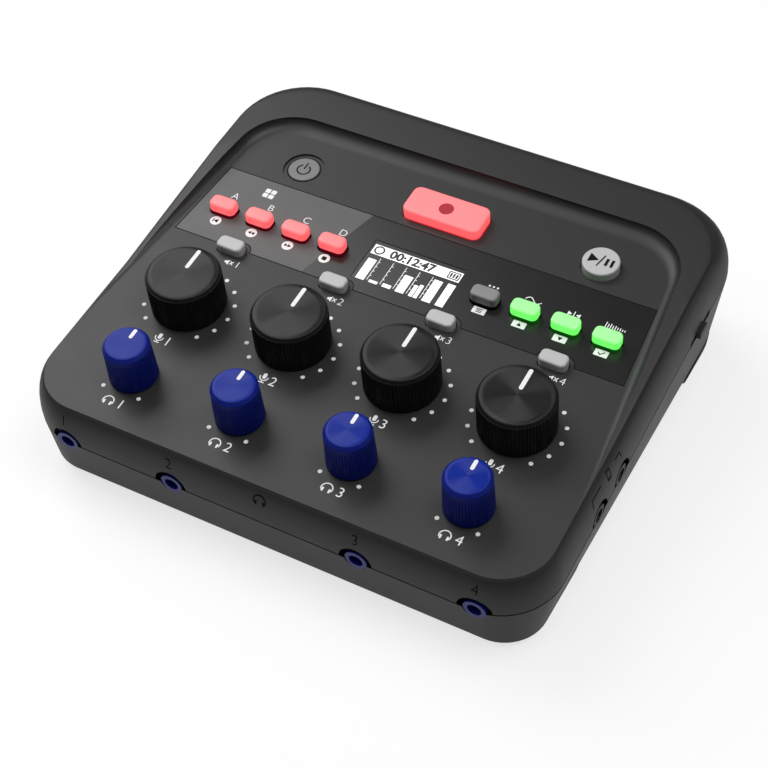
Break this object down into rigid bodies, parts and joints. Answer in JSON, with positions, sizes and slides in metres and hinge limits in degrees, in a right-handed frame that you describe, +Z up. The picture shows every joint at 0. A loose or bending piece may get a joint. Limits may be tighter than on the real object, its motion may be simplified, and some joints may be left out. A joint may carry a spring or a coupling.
{
  "type": "podcast recorder",
  "caption": "Desktop podcast recorder: wedge-shaped dark case with a sunken control panel, gain and phones knobs, lit keys, a small display, front phones sockets and rear microphone sockets.",
  "frame": {"origin": "middle of the footprint, on the plane of the rubber pads", "axes": "+X to the user's right, +Y to the back, +Z up"},
  "size_m": [0.1406, 0.1329, 0.0429],
  "materials": {
    "shell": "fine matte texture",
    "cover_light": "matte print film",
    "cover_dark": "glossy film",
    "screen": "smooth display face",
    "board": "lacquered circuit board",
    "pot_metal": "pressed and plated",
    "black_plastic": "satin",
    "knob_black": "satin with a turned top",
    "knob_blue": "satin with a turned top",
    "jack_blue": "satin collar",
    "lit_red": "translucent, lit from below",
    "lit_green": "translucent, lit from below",
    "key_light": "satin",
    "key_grey": "satin",
    "steel": "plated",
    "cell_wrap": "plain wrapper",
    "rubber": "matte"
  },
  "bodies": {
    "recorder": {"top_shell": "shell", "bottom_shell": "shell", "pad_cover": "cover_light", "display_cover": "cover_dark", "lcd_module": "screen", "main_board": "board", "gain_pots": "pot_metal", "phones_pots": "pot_metal", "tact_switches": "black_plastic", "phones_jack_1": "jack_blue", "phones_jack_2": "jack_blue", "phones_jack_3": "jack_blue", "phones_jack_4": "jack_blue", "side_jack_1": "black_plastic", "side_jack_2": "black_plastic", "mic_socket_1": "black_plastic", "mic_socket_2": "black_plastic", "mic_socket_3": "black_plastic", "mic_socket_4": "black_plastic", "mic_inserts": "black_plastic", "usb_port": "steel", "card_slot": "steel", "switch_body": "black_plastic", "battery_cells": "cell_wrap", "battery_contacts": "steel", "case_screws": "steel", "rubber_pads": "rubber"},
    "gain_1": {"gain_knob_1": "knob_black", "gain_shaft_1": "pot_metal"},
    "gain_2": {"gain_knob_2": "knob_black", "gain_shaft_2": "pot_metal"},
    "gain_3": {"gain_knob_3": "knob_black", "gain_shaft_3": "pot_metal"},
    "gain_4": {"gain_knob_4": "knob_black", "gain_shaft_4": "pot_metal"},
    "phones_1": {"phones_knob_1": "knob_blue", "phones_shaft_1": "pot_metal"},
    "phones_2": {"phones_knob_2": "knob_blue", "phones_shaft_2": "pot_metal"},
    "phones_3": {"phones_knob_3": "knob_blue", "phones_shaft_3": "pot_metal"},
    "phones_4": {"phones_knob_4": "knob_blue", "phones_shaft_4": "pot_metal"},
    "pad_key_1": {"pad_key_1": "lit_red"},
    "pad_key_2": {"pad_key_2": "lit_red"},
    "pad_key_3": {"pad_key_3": "lit_red"},
    "pad_key_4": {"pad_key_4": "lit_red"},
    "mute_key_1": {"mute_key_1": "key_light"},
    "mute_key_2": {"mute_key_2": "key_light"},
    "mute_key_3": {"mute_key_3": "key_light"},
    "mute_key_4": {"mute_key_4": "key_light"},
    "menu_key": {"menu_key": "key_grey"},
    "effect_key_1": {"effect_key_1": "lit_green"},
    "effect_key_2": {"effect_key_2": "lit_green"},
    "effect_key_3": {"effect_key_3": "lit_green"},
    "record_key": {"record_key": "lit_red"},
    "play_key": {"play_key": "key_light"},
    "power_key": {"power_key": "key_grey"},
    "slider": {"switch_slider": "black_plastic"},
    "door": {"battery_door": "shell"}
  },
  "joints": [
    {"name": "gain_turn_1", "type": "hinge", "parent": "recorder", "child": "gain_1", "pos_m": [-0.045, -0.02441, 0.03047], "axis": [0, -0.1219, 0.9925], "range_deg": [-139, 139]},
    {"name": "gain_turn_2", "type": "hinge", "parent": "recorder", "child": "gain_2", "pos_m": [-0.015, -0.02441, 0.03047], "axis": [0, -0.1219, 0.9925], "range_deg": [-139, 139]},
    {"name": "gain_turn_3", "type": "hinge", "parent": "recorder", "child": "gain_3", "pos_m": [0.015, -0.02441, 0.03047], "axis": [0, -0.1219, 0.9925], "range_deg": [-139, 139]},
    {"name": "gain_turn_4", "type": "hinge", "parent": "recorder", "child": "gain_4", "pos_m": [0.045, -0.02441, 0.03047], "axis": [0, -0.1219, 0.9925], "range_deg": [-139, 139]},
    {"name": "phones_turn_1", "type": "hinge", "parent": "recorder", "child": "phones_1", "pos_m": [-0.045, -0.04952, 0.02739], "axis": [0, -0.1219, 0.9925], "range_deg": [-139, 139]},
    {"name": "phones_turn_2", "type": "hinge", "parent": "recorder", "child": "phones_2", "pos_m": [-0.015, -0.04952, 0.02739], "axis": [0, -0.1219, 0.9925], "range_deg": [-139, 139]},
    {"name": "phones_turn_3", "type": "hinge", "parent": "recorder", "child": "phones_3", "pos_m": [0.015, -0.04952, 0.02739], "axis": [0, -0.1219, 0.9925], "range_deg": [-139, 139]},
    {"name": "phones_turn_4", "type": "hinge", "parent": "recorder", "child": "phones_4", "pos_m": [0.045, -0.04952, 0.02739], "axis": [0, -0.1219, 0.9925], "range_deg": [-139, 139]},
    {"name": "pad_press_1", "type": "slide", "parent": "recorder", "child": "pad_key_1", "axis": [0, 0.1219, -0.9925], "range_m": [0, 0.0007], "stiffness_N_per_m": 1200},
    {"name": "pad_press_2", "type": "slide", "parent": "recorder", "child": "pad_key_2", "axis": [0, 0.1219, -0.9925], "range_m": [0, 0.0007], "stiffness_N_per_m": 1200},
    {"name": "pad_press_3", "type": "slide", "parent": "recorder", "child": "pad_key_3", "axis": [0, 0.1219, -0.9925], "range_m": [0, 0.0007], "stiffness_N_per_m": 1200},
    {"name": "pad_press_4", "type": "slide", "parent": "recorder", "child": "pad_key_4", "axis": [0, 0.1219, -0.9925], "range_m": [0, 0.0007], "stiffness_N_per_m": 1200},
    {"name": "mute_press_1", "type": "slide", "parent": "recorder", "child": "mute_key_1", "axis": [0, 0.1219, -0.9925], "range_m": [0, 0.0007], "stiffness_N_per_m": 1200},
    {"name": "mute_press_2", "type": "slide", "parent": "recorder", "child": "mute_key_2", "axis": [0, 0.1219, -0.9925], "range_m": [0, 0.0007], "stiffness_N_per_m": 1200},
    {"name": "mute_press_3", "type": "slide", "parent": "recorder", "child": "mute_key_3", "axis": [0, 0.1219, -0.9925], "range_m": [0, 0.0007], "stiffness_N_per_m": 1200},
    {"name": "mute_press_4", "type": "slide", "parent": "recorder", "child": "mute_key_4", "axis": [0, 0.1219, -0.9925], "range_m": [0, 0.0007], "stiffness_N_per_m": 1200},
    {"name": "menu_press", "type": "slide", "parent": "recorder", "child": "menu_key", "axis": [0, 0.1219, -0.9925], "range_m": [0, 0.0007], "stiffness_N_per_m": 1200},
    {"name": "effect_press_1", "type": "slide", "parent": "recorder", "child": "effect_key_1", "axis": [0, 0.1219, -0.9925], "range_m": [0, 0.0007], "stiffness_N_per_m": 1200},
    {"name": "effect_press_2", "type": "slide", "parent": "recorder", "child": "effect_key_2", "axis": [0, 0.1219, -0.9925], "range_m": [0, 0.0007], "stiffness_N_per_m": 1200},
    {"name": "effect_press_3", "type": "slide", "parent": "recorder", "child": "effect_key_3", "axis": [0, 0.1219, -0.9925], "range_m": [0, 0.0007], "stiffness_N_per_m": 1200},
    {"name": "record_press", "type": "slide", "parent": "recorder", "child": "record_key", "axis": [0, 0.1219, -0.9925], "range_m": [0, 0.0007], "stiffness_N_per_m": 1200},
    {"name": "play_press", "type": "slide", "parent": "recorder", "child": "play_key", "axis": [0, 0.1219, -0.9925], "range_m": [0, 0.0007], "stiffness_N_per_m": 1200},
    {"name": "power_press", "type": "slide", "parent": "recorder", "child": "power_key", "axis": [0, 0.1219, -0.9925], "range_m": [0, 0.0007], "stiffness_N_per_m": 1200},
    {"name": "switch_slide", "type": "slide", "parent": "recorder", "child": "slider", "axis": [0, 0.9925, 0.1219], "range_m": [-0.0038, 0.0038]},
    {"name": "door_hinge", "type": "hinge", "parent": "recorder", "child": "door", "pos_m": [0, -0.04262, 0.00124], "axis": [-1, 0, 0], "range_deg": [0, 90]}
  ]
}
